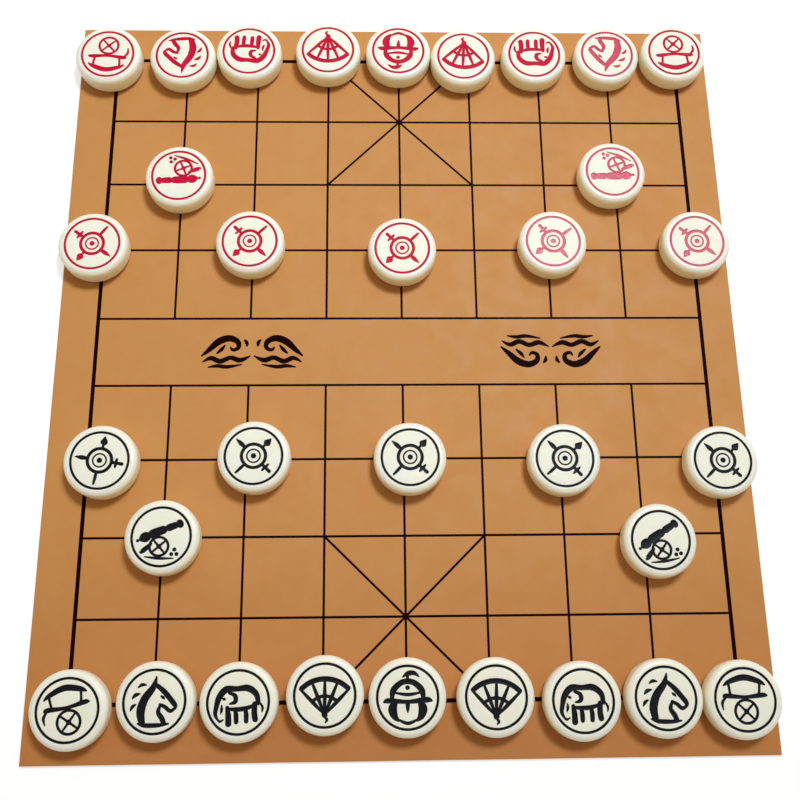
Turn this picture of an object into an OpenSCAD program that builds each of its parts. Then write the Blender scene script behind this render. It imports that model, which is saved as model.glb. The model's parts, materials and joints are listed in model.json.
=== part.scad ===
// A board game set laid out ready to play: a flat sheet with a printed grid, and 32 loose discs on it.
// Millimetres, +Z up, +Y towards the red side. The origin is the centre of the sheet's underside.

/* [Printed grid] */
// Distance between neighbouring files, the lines that run from player to player
file_pitch = 44; // [42:0.5:60]
// Distance between neighbouring ranks, the lines that run across
rank_pitch = 43.3; // [42:0.1:60]
// Width of the open river between the two halves
river_w = 40.6; // [30:0.1:60]
// Width of an inner printed line
line_w = 1.3; // [0.6:0.1:2.5]
// Width of the heavier line round the grid
border_w = 2.2; // [1:0.1:4]
// Depth to which the print is pressed into the face
print_depth = 0.15; // [0.05:0.01:0.3]

/* [River ornaments] */
// Drawn width of one wave ornament
wave_w = 28; // [18:1:29]
// Distance between the two ornaments of a pair
wave_pitch = 30; // [30:1:44]
// Distance of each pair's middle from the middle file
wave_pair_x = 86.5; // [60:0.5:100]

/* [Sheet] */
// Sheet beyond the left file
margin_left = 22.5; // [20:0.5:60]
// Sheet beyond the right file
margin_right = 19.5; // [18:0.5:60]
// Sheet beyond the rank nearest to the black player
margin_near = 29.5; // [22:0.5:60]
// Sheet beyond the rank nearest to the red player
margin_far = 22.5; // [20:0.5:60]
// Thickness of the imitation leather
face_t = 0.8; // [0.4:0.1:2]
// Thickness of the fabric under it
backing_t = 0.7; // [0.3:0.1:2]

/* [Discs] */
// Diameter of a disc
disc_d = 40; // [34:0.5:41.5]
// Thickness of a disc
disc_h = 13; // [9:0.5:18]
// Rounding of a disc's upper edge
top_round = 3; // [1:0.25:3.75]
// Rounding of a disc's lower edge
base_round = 4; // [1:0.25:5]

/* [Disc marks] */
// Distance from the disc's edge to the middle of its engraved ring
ring_inset = 4.4; // [4:0.1:5.5]
// Width of the engraved ring
ring_w = 1.4; // [0.6:0.1:1.8]
// Plain gap between the ring and the mark inside it
mark_gap = 1.3; // [0.8:0.1:4]
// Depth of the engraving
engrave_depth = 0.5; // [0.2:0.05:1]
// Weight of the brush strokes, 1 for the widths they are written with
stroke_weight = 1.15; // [0.7:0.05:1.3]
// Steps along each stretch of a brush stroke
stroke_steps = 3; // [1:1:6]

/* [Hidden] */
leather_colour = [0.78, 0.56, 0.34];
print_colour = [0.13, 0.05, 0.04];
backing_colour = [0.30, 0.24, 0.20];
ivory_colour = [0.95, 0.93, 0.84];
red_colour = [0.74, 0.06, 0.20];
black_colour = [0.06, 0.06, 0.09];

$fn = 64;
over = 1; // how far a cut runs past the face that it opens in

last_file = 8;
half_ranks = 4; // rank spacings on each side of the river
grid_w = last_file * file_pitch;
grid_l = 2 * half_ranks * rank_pitch + river_w;
sheet_w = grid_w + margin_left + margin_right;
sheet_l = grid_l + margin_near + margin_far;
grid_x = (margin_left - margin_right) / 2; // the grid's centre, seen from the sheet's centre
grid_y = (margin_near - margin_far) / 2;
sheet_top = backing_t + face_t;

disc_r = disc_d / 2;
ring_r = disc_r - ring_inset;
mark_r = ring_r - ring_w / 2 - mark_gap;
drawn_mark_r = 13.5; // the radius that the marks' strokes are written for
drawn_wave_w = 26; // the width that the wave ornament's strokes are written for
disc_gap = file_pitch - disc_d; // free gap between two discs that stand square on neighbouring crossings

// The discs as they stand. Each row is name, mark, side, file from the left, rank from the red side, how
// far the disc stands off its crossing in x and y, in free gaps, and its turn in degrees.
LAYOUT = [
    ["red_chariot_left", "chariot", "red", 0, 0, -0.8, -1.1, 176],
    ["red_horse_left", "horse", "red", 1, 0, -0.4, -1.2, 184],
    ["red_elephant_left", "elephant", "red", 2, 0, -1.2, -0.4, 178],
    ["red_advisor_left", "advisor", "red", 3, 0, 0, -0.1, 180],
    ["red_general", "general", "red", 4, 0, -0.1, -0.2, 178],
    ["red_advisor_right", "advisor", "red", 5, 0, -1, -1.1, 176],
    ["red_elephant_right", "elephant", "red", 6, 0, -0.9, -0.7, 182],
    ["red_horse_right", "horse", "red", 7, 0, -0.5, -0.6, 174],
    ["red_chariot_right", "chariot", "red", 8, 0, -0.9, -0.2, 181],
    ["red_cannon_left", "cannon", "red", 1, 2, 0.1, -0.2, 158],
    ["red_cannon_right", "cannon", "red", 7, 2, -1.1, 0.6, 156],
    ["red_soldier_1", "soldier", "red", 0, 3, -0.8, -0.4, 188],
    ["red_soldier_2", "soldier", "red", 2, 3, -0.1, 0, 180],
    ["red_soldier_3", "soldier", "red", 4, 3, 0.1, -1.1, 180],
    ["red_soldier_4", "soldier", "red", 6, 3, 0.3, 0, 172],
    ["red_soldier_5", "soldier", "red", 8, 3, -0.4, 0, 184],
    ["black_soldier_1", "soldier", "black", 0, 6, 2.6, -0.7, 35],
    ["black_soldier_2", "soldier", "black", 2, 6, 1.4, -0.2, 0],
    ["black_soldier_3", "soldier", "black", 4, 6, 0.8, -0.5, 2],
    ["black_soldier_4", "soldier", "black", 6, 6, 0.1, -0.8, -3],
    ["black_soldier_5", "soldier", "black", 8, 6, 0, -1.2, 0],
    ["black_cannon_left", "cannon", "black", 1, 7, 0.5, -0.3, -4],
    ["black_cannon_right", "cannon", "black", 7, 7, 1.4, -1.3, 8],
    ["black_chariot_left", "chariot", "black", 0, 9, 0.9, -0.5, 12],
    ["black_horse_left", "horse", "black", 1, 9, 0.8, 0.4, 0],
    ["black_elephant_left", "elephant", "black", 2, 9, 0.4, 0.2, 6],
    ["black_advisor_left", "advisor", "black", 3, 9, 0.4, 0.9, 0],
    ["black_general", "general", "black", 4, 9, 0, 0.5, 0],
    ["black_advisor_right", "advisor", "black", 5, 9, 0.4, 0.4, -2],
    ["black_elephant_right", "elephant", "black", 6, 9, 0.6, -0.2, 4],
    ["black_horse_right", "horse", "black", 7, 9, 0.3, 0, -3],
    ["black_chariot_right", "chariot", "black", 8, 9, -0.4, -0.3, 0]
];

// Places on the grid
function file_x(file) = grid_x + (file - last_file / 2) * file_pitch;
function rank_y(rank) = rank <= half_ranks
    ? grid_y + river_w / 2 + (half_ranks - rank) * rank_pitch
    : grid_y - river_w / 2 - (rank - half_ranks - 1) * rank_pitch;
last_rank = 2 * half_ranks + 1;

// A brush stroke runs smoothly through its points, each given as x, y and half width
function between(a, b, c, d, t) = (2 * b + (c - a) * t + (2 * a - 5 * b + 4 * c - d) * t * t
    + (3 * b - a - 3 * c + d) * t * t * t) / 2;
function along(p) = let (n = len(p) - 1) concat(
    [for (i = [0 : n - 1], k = [0 : stroke_steps - 1])
        between(p[max(i - 1, 0)], p[i], p[i + 1], p[min(i + 2, n)], k / stroke_steps)],
    [p[n]]);
function across(q, i) = let (
    d = q[min(i + 1, len(q) - 1)] - q[max(i - 1, 0)],
    s = norm([d[0], d[1]])) [-d[1], d[0]] / s * q[i][2] * stroke_weight;
function point(q, i) = [q[i][0], q[i][1]];

module brush(points) {
    q = along(points);
    n = len(q) - 1;
    polygon(concat(
        [for (i = [0 : n]) point(q, i) + across(q, i)],
        [for (i = [n : -1 : 0]) point(q, i) - across(q, i)]));
}

module dot(x, y, r) {
    translate([x, y]) circle(r);
}

module hoop(x, y, r, w) {
    translate([x, y]) difference() {
        circle(r + w / 2);
        circle(r - w / 2);
    }
}

// A stroke that closes on itself in a circle
module round_brush(x, y, r, w) {
    hoop(x, y, r, w * stroke_weight);
}

// A stroke and its mirror image about the mark's upright middle
module pair(points) {
    brush(points);
    mirror([1, 0]) brush(points);
}

// A spoked wheel, as on the cart and the gun
module wheel(x, y, r) {
    reach = 0.72 * r;
    round_brush(x, y, r, 1.3);
    dot(x, y, 1.4);
    for (turn = [45, 135])
        translate([x, y]) rotate(turn) brush([[-reach - 1, 0, 0.5], [0, 0, 0.6], [reach + 1, 0, 0.5]]);
}

// A covered cart
module chariot_mark() {
    wheel(0, -5.9, 5.7);
    brush([[-11.5, 1.3, 0.4], [-9.5, 1.9, 1.1], [0, 1.2, 0.8], [9, 2.1, 1.1], [11.5, 1.8, 0.4]]);
    brush([[-10, 1.2, 0.5], [-12, -1.4, 0.7], [-11.8, -5, 0.3]]);
    brush([[-7.4, 1.4, 0.7], [-7.8, 5, 0.6], [-8.2, 8.6, 0.7]]);
    brush([[7.2, 1.6, 0.7], [7.7, 5, 0.6], [8.1, 8.6, 0.7]]);
    brush([[-10.8, 6.9, 0.4], [-7.5, 8.9, 1.1], [0, 10.9, 1.4], [7.5, 9, 1.2], [10.8, 7.1, 0.4]]);
}

// A horse's head with its mane
module horse_mark() {
    brush([[-5.5, -10.8, 1.4], [-6.6, -5, 1.9], [-5, 1, 1.8], [-1.5, 6, 1.5], [0.5, 9, 0.9]]);
    brush([[-1.6, 6.2, 1.2], [0, 9.5, 0.9], [0.6, 12.4, 0.3]]);
    brush([[0.3, 8.4, 0.9], [4.5, 5, 1.2], [8, 1.2, 1.2], [10.4, -1.8, 1.1], [10.6, -3.8, 0.5]]);
    brush([[10.8, -3, 0.6], [8.2, -4.6, 0.9], [5.4, -2.6, 0.9], [2.6, -1.4, 0.7]]);
    brush([[3.2, -1.4, 0.6], [2.2, -5, 1], [4.2, -8.2, 1.2], [5.4, -10.9, 1.1]]);
    brush([[-8, -10.4, 0.4], [-4, -11.4, 1], [3, -11.3, 0.9], [7.8, -10.6, 0.4]]);
    brush([[3, 2.8, 0.3], [4.2, 2, 0.7], [5.2, 1.1, 0.3]]);
    brush([[-4.2, 8, 0.3], [-6.6, 8.2, 0.8], [-8.6, 6.8, 0.3]]);
    brush([[-7.2, 3.9, 0.3], [-9.6, 3.2, 0.9], [-11.2, 1.4, 0.3]]);
    brush([[-9, -1.2, 0.3], [-10.8, -2.4, 0.8], [-11.8, -4.4, 0.3]]);
}

// A standing elephant
module elephant_mark() {
    brush([[-10.8, -7.4, 0.5], [-11.8, -4.6, 0.9], [-11, -1, 1.1], [-9.2, 3.5, 1.4], [-5.5, 6.8, 1.5],
        [0, 6.5, 1.2], [5.5, 6.2, 1.5], [9.4, 2.8, 1.3], [10, -2.2, 1]]);
    brush([[-11, -7, 0.5], [-9.7, -8.3, 0.6], [-7.9, -7.5, 0.3]]);
    brush([[-4.4, 5, 0.6], [-1.4, 3.4, 1], [-1.4, 0.4, 1], [-4.4, -0.4, 0.4]]);
    brush([[-5.6, -1.6, 0.9], [-5.4, -6, 1.3], [-5.7, -10.6, 1.4]]);
    brush([[-1.6, -3, 0.8], [-1.5, -6.5, 1.1], [-1.7, -10, 1]]);
    brush([[3.3, -3, 0.8], [3.6, -6.5, 1.1], [3.3, -10.2, 1]]);
    brush([[8.4, -1.2, 1.2], [7.7, -6, 1.3], [8, -9.9, 1.3]]);
    brush([[-5.9, -2.6, 0.6], [-1, -3.4, 1], [3.6, -3.4, 1], [8.3, -2.4, 0.7]]);
    brush([[-8.3, -0.4, 0.3], [-8.5, -2.8, 0.7], [-9.2, -4.8, 0.2]]);
    brush([[-7.8, 2.7, 0.3], [-6.9, 2.3, 0.7], [-6.1, 1.8, 0.3]]);
    brush([[10.6, -0.9, 0.3], [12, -3.8, 0.6], [11.6, -6.2, 0.3]]);
}

// An open folding fan
module advisor_mark() {
    pivot_y = -9.4;
    edge_r = 17.4;
    tie_r = 9;
    for (turn = [45 : 22.5 : 135])
        translate([0, pivot_y]) rotate(turn) brush([[1, 0, 0.5], [8, 0, 0.9], [edge_r - 0.4, 0, 0.6]]);
    brush([for (turn = [135 : -15 : 45]) [edge_r * cos(turn), pivot_y + edge_r * sin(turn), 1.2]]);
    brush([for (turn = [133 : -21.5 : 47]) [tie_r * cos(turn), pivot_y + tie_r * sin(turn), 0.8]]);
    dot(0, pivot_y, 1.6);
    brush([[0, pivot_y - 1, 0.5], [1.2, pivot_y - 2.4, 0.7], [0.3, pivot_y - 3.9, 0.3]]);
}

// A plumed helmet with hanging cheek guards
module general_mark() {
    brush([[-8, -1.2, 0.8], [-7.3, 3.4, 1.4], [-3.8, 6.9, 1.3], [0, 7.9, 1.3], [3.8, 6.9, 1.3],
        [7.3, 3.4, 1.4], [8, -1.2, 0.8]]);
    brush([[-12.3, -2.4, 0.4], [-9.6, -1.5, 1.2], [0, -2.1, 0.9], [9.6, -1.2, 1.3], [12.5, -1.8, 0.4]]);
    brush([[-6.8, 2.4, 0.5], [0, 1.4, 0.8], [6.8, 2.4, 0.5]]);
    dot(0, 4.8, 1.2);
    brush([[0, 7.6, 0.9], [0, 9.4, 0.7], [0.2, 10.8, 0.7]]);
    brush([[-2.6, 9.9, 0.3], [0.2, 11.7, 1.1], [3.4, 11.9, 1], [6, 10, 0.3]]);
    pair([[6.4, -2, 1.3], [7.7, -5.6, 2], [6.6, -9.2, 1.5], [4.4, -11.4, 0.5]]);
    brush([[0, -1.6, 1.1], [0, -5, 0.9], [0, -7.4, 0.3]]);
    brush([[-5, -10.6, 0.5], [0, -12.5, 0.8], [5, -10.6, 0.5]]);
}

// A gun on its carriage, with three balls
module cannon_mark() {
    brush([[-10.6, -2.2, 1.3], [-9, -1.2, 2.3], [-6.7, 0, 2.3]]);
    brush([[-5.6, 0.6, 2.2], [-2, 2.4, 2.1], [1.8, 4.1, 1.9]]);
    brush([[2.9, 4.6, 1.8], [5, 5.6, 1.7], [7.6, 6.8, 1.6]]);
    brush([[8.6, 7.2, 2.1], [9.8, 7.8, 2]]);
    dot(-12, -2.9, 0.9);
    wheel(-0.6, -5.2, 4.9);
    brush([[-4.6, -3.8, 0.7], [-7.6, -7, 1.2], [-9.6, -8.7, 0.9], [-10.2, -8.4, 0.3]]);
    brush([[-7.6, -11, 0.3], [0, -11.4, 0.7], [7.8, -10.9, 0.3]]);
    dot(6.4, -8.8, 1.1);
    dot(9.1, -8.6, 1.1);
    dot(7.7, -6.3, 1.1);
}

// A round shield over a crossed spear and sword
module soldier_mark() {
    round_brush(0, 0, 6.5, 1.6);
    round_brush(0, 0, 3.6, 0.8);
    dot(0, 0, 1.5);
    brush([[-9.6, -9.4, 0.5], [-7, -6.9, 0.8], [-4.6, -4.5, 0.7]]);
    brush([[4.6, 4.5, 0.7], [6.6, 6.6, 0.6]]);
    brush([[5.9, 5.8, 0.5], [7.2, 7.1, 1.8], [9.4, 9.5, 0.2]]);
    brush([[-4.6, 4.6, 0.7], [-7, 7, 1.1], [-9.6, 9.5, 0.2]]);
    brush([[4.6, -4.6, 0.8], [7, -7, 0.8], [9, -9, 0.9]]);
    brush([[4.6, -8.2, 0.5], [6.4, -6.4, 0.8], [8.2, -4.6, 0.5]]);
}

// A breaking wave over a swell, the ornament that stands in the river
module wave_ornament() {
    brush([[-13, -2.4, 0.4], [-9, 1.2, 1.2], [-4, 5.8, 1.7], [1.5, 7.6, 1.6], [6, 5.6, 1.3],
        [6.4, 2.2, 1], [3.6, 1, 0.8], [2.2, 2.6, 0.4]]);
    brush([[-5, -1, 0.4], [-2.4, 1.4, 0.9], [-0.6, 3.8, 0.3]]);
    brush([[-12.4, -5.8, 0.3], [-8, -3.6, 1.1], [-3, -5.4, 1.2], [2.4, -3.4, 1.1], [7.6, -4.8, 1.2],
        [13, -2.4, 0.3]]);
    brush([[-9.4, -8.7, 0.3], [-4.4, -8, 0.9], [1, -8.5, 0.9], [8.6, -7.2, 0.3]]);
    brush([[9.4, 6.8, 0.3], [10.8, 5.2, 0.9], [11, 3, 0.4]]);
}

module river_ornaments() {
    size = wave_w / drawn_wave_w;
    for (turn = [0, 180])
        rotate(turn) for (way = [-1, 1])
            translate([-wave_pair_x + way * wave_pitch / 2, 0]) scale(size)
                mirror([way > 0 ? 1 : 0, 0]) wave_ornament();
}

// A straight printed line from one crossing to another
module line_between(file_a, rank_a, file_b, rank_b, width) {
    a = [file_x(file_a), rank_y(rank_a)];
    b = [file_x(file_b), rank_y(rank_b)];
    d = b - a;
    translate((a + b) / 2) rotate(atan2(d[1], d[0])) square([norm(d) + width, width], center = true);
}

module grid_print() {
    for (rank = [1 : last_rank - 1]) line_between(0, rank, last_file, rank, line_w);
    for (file = [1 : last_file - 1]) {
        line_between(file, 0, file, half_ranks, line_w);
        line_between(file, half_ranks + 1, file, last_rank, line_w);
    }
    for (rank = [0, last_rank]) line_between(0, rank, last_file, rank, border_w);
    for (file = [0, last_file]) line_between(file, 0, file, last_rank, border_w);
    for (rank = [0, last_rank - 2]) {
        line_between(3, rank, 5, rank + 2, line_w);
        line_between(5, rank, 3, rank + 2, line_w);
    }
}

module slab(z, t) {
    translate([-sheet_w / 2, -sheet_l / 2, z]) cube([sheet_w, sheet_l, t]);
}

module sheet_backing() {
    color(backing_colour) slab(0, backing_t);
}

module sheet_face() {
    difference() {
        color(leather_colour) slab(backing_t, face_t);
        color(print_colour) translate([0, 0, sheet_top - print_depth]) linear_extrude(print_depth + over) {
            grid_print();
            translate([grid_x, grid_y]) river_ornaments();
        }
    }
}

// Half of a disc's section, from its axis outwards
module disc_section() {
    square([disc_r - base_round, disc_h - top_round]);
    square([disc_r - top_round, disc_h]);
    translate([0, base_round]) square([disc_r, disc_h - base_round - top_round]);
    translate([disc_r - top_round, disc_h - top_round]) circle(top_round);
    translate([disc_r - base_round, base_round]) circle(base_round);
}

module mark(kind) {
    scale(mark_r / drawn_mark_r) {
        if (kind == "chariot") chariot_mark();
        if (kind == "horse") horse_mark();
        if (kind == "elephant") elephant_mark();
        if (kind == "advisor") advisor_mark();
        if (kind == "general") general_mark();
        if (kind == "cannon") cannon_mark();
        if (kind == "soldier") soldier_mark();
    }
}

module disc(kind, side) {
    difference() {
        color(ivory_colour) rotate_extrude() disc_section();
        color(side == "red" ? red_colour : black_colour)
            translate([0, 0, disc_h - engrave_depth]) linear_extrude(engrave_depth + over) {
                hoop(0, 0, ring_r, ring_w);
                mark(kind);
            }
    }
}

sheet_face();
sheet_backing();
for (d = LAYOUT)
    translate([file_x(d[3]) + d[5] * disc_gap, rank_y(d[4]) + d[6] * disc_gap, sheet_top])
            rotate(d[7]) disc(d[1], d[2]);
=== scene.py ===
# A board game set laid out ready to play: a printed sheet of imitation leather with 32 ivory discs on it.
# Shapes are worked out in millimetres on the frame's own axes, and go into the meshes in metres.
import json
import math

import bpy
import numpy as np
from mathutils import Matrix, Vector

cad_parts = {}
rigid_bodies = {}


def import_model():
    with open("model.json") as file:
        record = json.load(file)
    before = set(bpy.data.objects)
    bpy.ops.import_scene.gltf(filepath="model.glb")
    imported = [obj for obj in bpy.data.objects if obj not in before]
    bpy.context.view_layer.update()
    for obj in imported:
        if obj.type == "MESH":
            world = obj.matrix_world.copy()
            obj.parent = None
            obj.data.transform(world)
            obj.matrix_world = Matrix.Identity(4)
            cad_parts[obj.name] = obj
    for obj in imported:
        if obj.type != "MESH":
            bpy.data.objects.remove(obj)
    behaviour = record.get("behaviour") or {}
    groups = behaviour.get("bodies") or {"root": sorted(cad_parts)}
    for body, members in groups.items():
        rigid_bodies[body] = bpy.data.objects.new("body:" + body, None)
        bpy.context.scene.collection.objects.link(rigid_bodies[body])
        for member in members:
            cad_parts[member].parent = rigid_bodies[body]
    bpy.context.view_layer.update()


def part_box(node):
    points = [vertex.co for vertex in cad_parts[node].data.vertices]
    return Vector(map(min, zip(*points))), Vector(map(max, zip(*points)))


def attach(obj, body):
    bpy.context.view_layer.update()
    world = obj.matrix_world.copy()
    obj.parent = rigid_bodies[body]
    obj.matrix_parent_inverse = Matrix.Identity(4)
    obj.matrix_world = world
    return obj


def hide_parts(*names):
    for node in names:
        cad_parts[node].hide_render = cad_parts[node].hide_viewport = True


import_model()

mm = 0.001
bpy.context.scene.view_settings.view_transform = "Standard"
print("frame loaded")


# Grid and shell helpers

def gridFaces(rows, columns, wrapRows=False, wrapColumns=False):
    # Quads of a grid whose corner (i, j) is number i * columns + j. A wrapped way joins its last line to its
    # first.
    i = np.arange(rows if wrapRows else rows - 1)[:, None]
    j = np.arange(columns if wrapColumns else columns - 1)[None, :]
    nextI, nextJ = (i + 1) % rows, (j + 1) % columns
    corners = [i * columns + j, i * columns + nextJ, nextI * columns + nextJ, nextI * columns + j]
    return np.stack([np.broadcast_to(c, (len(i), j.size)) for c in corners], -1).reshape(-1, 4)


def joined(shells):
    # One shell from several (points, faces, face materials), with the corner numbers moved up
    points, faces, inks, start = [], [], [], 0
    for shellPoints, shellFaces, shellInks in shells:
        faces += [[corner + start for corner in face] for face in shellFaces]
        points.append(shellPoints)
        inks += list(shellInks)
        start += len(shellPoints)
    return np.vstack(points), faces, inks


def makeMesh(name, shell, materials=()):
    # Puts a shell of points in millimetres into a mesh in metres
    points, faces, inks = shell
    mesh = bpy.data.meshes.new(name)
    mesh.from_pydata((points * mm).tolist(), [], faces)
    for material in materials:
        mesh.materials.append(material)
    mesh.polygons.foreach_set("material_index", inks)
    mesh.update()
    return mesh


def addPiece(name, mesh, body, slot, *nodes):
    # Hangs a finished mesh in the scene, on its body and in place of its nodes
    piece = bpy.data.objects.new(name, mesh)
    bpy.context.scene.collection.objects.link(piece)
    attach(piece, body)
    if nodes:
        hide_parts(*nodes)
    return piece


def carried(x, y, side, height, closed=False):
    # A profile carried along a path: point (i, j) stands side[i, j] to the left of path point i, where left
    # is the path's direction turned a quarter, and at height[i, j]
    def change(values):
        if closed:
            return np.roll(values, -1) - np.roll(values, 1)
        return np.gradient(values)
    alongX, alongY = change(x), change(y)
    size = np.hypot(alongX, alongY)
    left = np.stack([-alongY / size, alongX / size], -1)
    flat = np.stack([x, y], -1)[:, None, :] + side[:, :, None] * left[:, None, :]
    points = np.concatenate([flat, height[:, :, None]], -1).reshape(-1, 3)
    rows, columns = side.shape
    faces = gridFaces(rows, columns, closed, True)[:, ::-1].tolist()
    if not closed:
        faces.append(list(range(columns)))
        faces.append(list(range(rows * columns - 1, (rows - 1) * columns - 1, -1)))
    return points, faces


def revolved(radius, height, centreX=0.0, centreY=0.0, segments=48):
    # A profile turned round an upright axis, from its lowest row to its highest, with flat caps at both ends
    angle = np.linspace(0, 2 * math.pi, segments, endpoint=False)
    x = centreX + radius[:, None] * np.cos(angle)
    y = centreY + radius[:, None] * np.sin(angle)
    z = np.broadcast_to(height[:, None], x.shape)
    points = np.stack([x, y, z], -1).reshape(-1, 3)
    rows = len(radius)
    faces = gridFaces(rows, segments, False, True).tolist()
    faces.append(list(range(segments - 1, -1, -1)))
    faces.append(list(range((rows - 1) * segments, rows * segments)))
    return points, faces


# Brush strokes, each a list of x, y, half width

spanSteps = 12      # points of the curve from one drawn point to the next
longestEnd = 0.4    # a rounded end's longest share of its stroke
endTurns = np.radians(np.arange(8, 90, 16))


def brushPath(points, step):
    # A Catmull-Rom curve through the points, evened out by length. Both ends are rounded: within one half
    # width of an end the roundness is sqrt(1 - u * u), with u the share of that stretch still to go, and
    # half of the stretch lies past the drawn end.
    p = np.array(points, float)
    padded = np.vstack([p[:1], p, p[-1:]])
    a, b, c, d = (padded[i:len(padded) - 3 + i, None, :] for i in range(4))
    t = np.linspace(0, 1, spanSteps, endpoint=False)[None, :, None]
    q = (2 * b + (c - a) * t + (2 * a - 5 * b + 4 * c - d) * t**2 + (3 * b - a - 3 * c + d) * t**3) / 2
    q = np.vstack([q.reshape(-1, 3), p[-1:]])
    for _ in range(2):
        past = q[0] - q[1]
        past = past / np.hypot(past[0], past[1]) * q[0, 2] / 2
        q = np.vstack([q[0] + [past[0], past[1], 0], q])[::-1]
    length = np.concatenate([[0], np.cumsum(np.hypot(*np.diff(q[:, :2], axis=0).T))])
    whole = length[-1]
    first, last = (min(halfWidth, longestEnd * whole) for halfWidth in (q[0, 2], q[-1, 2]))
    rise = 1 - np.cos(endTurns)
    middle = np.linspace(first, whole - last, max(3, int(whole / step)))
    at = np.concatenate([first * rise, middle, (whole - last * rise)[::-1]])
    x, y, w = (np.interp(at, length, q[:, k]) for k in range(3))
    near = np.minimum(np.minimum(at / first, (whole - at) / last), 1)
    return x, y, w, np.sqrt(1 - (1 - near)**2)


# The engraved marks

drawnRadius = 13.5      # the circle that each mark is drawn to fill
strokeWeight = 1.15


def brush(points):
    # One stroke, its half widths times the stroke weight
    return [("brush", [[x, y, w * strokeWeight] for x, y, w in points])]


def dot(x, y, r):
    return [("dot", x, y, r)]


def hoop(x, y, r, w):
    # A stroke of width w that closes on itself in a circle
    return [("hoop", x, y, r, w * strokeWeight)]


def mirrored(points):
    # A stroke and the same one with x turned to -x
    return brush(points) + brush([[-x, y, w] for x, y, w in points])


def turned(points, degrees, x=0.0, y=0.0):
    # A stroke turned anticlockwise about the origin, then moved to x, y
    c, s = math.cos(math.radians(degrees)), math.sin(math.radians(degrees))
    return brush([[x + c * px - s * py, y + s * px + c * py, w] for px, py, w in points])


def wheel(x, y, r):
    # A rim, a hub and two crossed spokes that run a little into the rim
    reach = 0.72 * r + 1
    spoke = [[-reach, 0, 0.5], [0, 0, 0.6], [reach, 0, 0.5]]
    return hoop(x, y, r, 1.3) + dot(x, y, 1.4) + turned(spoke, 45, x, y) + turned(spoke, 135, x, y)


def chariotMark():
    # A covered cart
    return (wheel(0, -5.9, 5.7)
        + brush([[-11.5, 1.3, 0.4], [-9.5, 1.9, 1.1], [0, 1.2, 0.8], [9, 2.1, 1.1], [11.5, 1.8, 0.4]])
        + brush([[-10, 1.2, 0.5], [-12, -1.4, 0.7], [-11.8, -5, 0.3]])
        + brush([[-7.4, 1.4, 0.7], [-7.8, 5, 0.6], [-8.2, 8.6, 0.7]])
        + brush([[7.2, 1.6, 0.7], [7.7, 5, 0.6], [8.1, 8.6, 0.7]])
        + brush([[-10.8, 6.9, 0.4], [-7.5, 8.9, 1.1], [0, 10.9, 1.4], [7.5, 9, 1.2], [10.8, 7.1, 0.4]]))


def horseMark():
    # A horse's head with its mane
    return (brush([[-5.5, -10.8, 1.4], [-6.6, -5, 1.9], [-5, 1, 1.8], [-1.5, 6, 1.5], [0.5, 9, 0.9]])
        + brush([[-1.6, 6.2, 1.2], [0, 9.5, 0.9], [0.6, 12.4, 0.3]])
        + brush([[0.3, 8.4, 0.9], [4.5, 5, 1.2], [8, 1.2, 1.2], [10.4, -1.8, 1.1], [10.6, -3.8, 0.5]])
        + brush([[10.8, -3, 0.6], [8.2, -4.6, 0.9], [5.4, -2.6, 0.9], [2.6, -1.4, 0.7]])
        + brush([[3.2, -1.4, 0.6], [2.2, -5, 1], [4.2, -8.2, 1.2], [5.4, -10.9, 1.1]])
        + brush([[-8, -10.4, 0.4], [-4, -11.4, 1], [3, -11.3, 0.9], [7.8, -10.6, 0.4]])
        + brush([[3, 2.8, 0.3], [4.2, 2, 0.7], [5.2, 1.1, 0.3]])
        + brush([[-4.2, 8, 0.3], [-6.6, 8.2, 0.8], [-8.6, 6.8, 0.3]])
        + brush([[-7.2, 3.9, 0.3], [-9.6, 3.2, 0.9], [-11.2, 1.4, 0.3]])
        + brush([[-9, -1.2, 0.3], [-10.8, -2.4, 0.8], [-11.8, -4.4, 0.3]]))


def elephantMark():
    # A standing elephant
    return (brush([[-10.8, -7.4, 0.5], [-11.8, -4.6, 0.9], [-11, -1, 1.1], [-9.2, 3.5, 1.4], [-5.5, 6.8, 1.5],
            [0, 6.5, 1.2], [5.5, 6.2, 1.5], [9.4, 2.8, 1.3], [10, -2.2, 1]])
        + brush([[-11, -7, 0.5], [-9.7, -8.3, 0.6], [-7.9, -7.5, 0.3]])
        + brush([[-4.4, 5, 0.6], [-1.4, 3.4, 1], [-1.4, 0.4, 1], [-4.4, -0.4, 0.4]])
        + brush([[-5.6, -1.6, 0.9], [-5.4, -6, 1.3], [-5.7, -10.6, 1.4]])
        + brush([[-1.6, -3, 0.8], [-1.5, -6.5, 1.1], [-1.7, -10, 1]])
        + brush([[3.3, -3, 0.8], [3.6, -6.5, 1.1], [3.3, -10.2, 1]])
        + brush([[8.4, -1.2, 1.2], [7.7, -6, 1.3], [8, -9.9, 1.3]])
        + brush([[-5.9, -2.6, 0.6], [-1, -3.4, 1], [3.6, -3.4, 1], [8.3, -2.4, 0.7]])
        + brush([[-8.3, -0.4, 0.3], [-8.5, -2.8, 0.7], [-9.2, -4.8, 0.2]])
        + brush([[-7.8, 2.7, 0.3], [-6.9, 2.3, 0.7], [-6.1, 1.8, 0.3]])
        + brush([[10.6, -0.9, 0.3], [12, -3.8, 0.6], [11.6, -6.2, 0.3]]))


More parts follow.
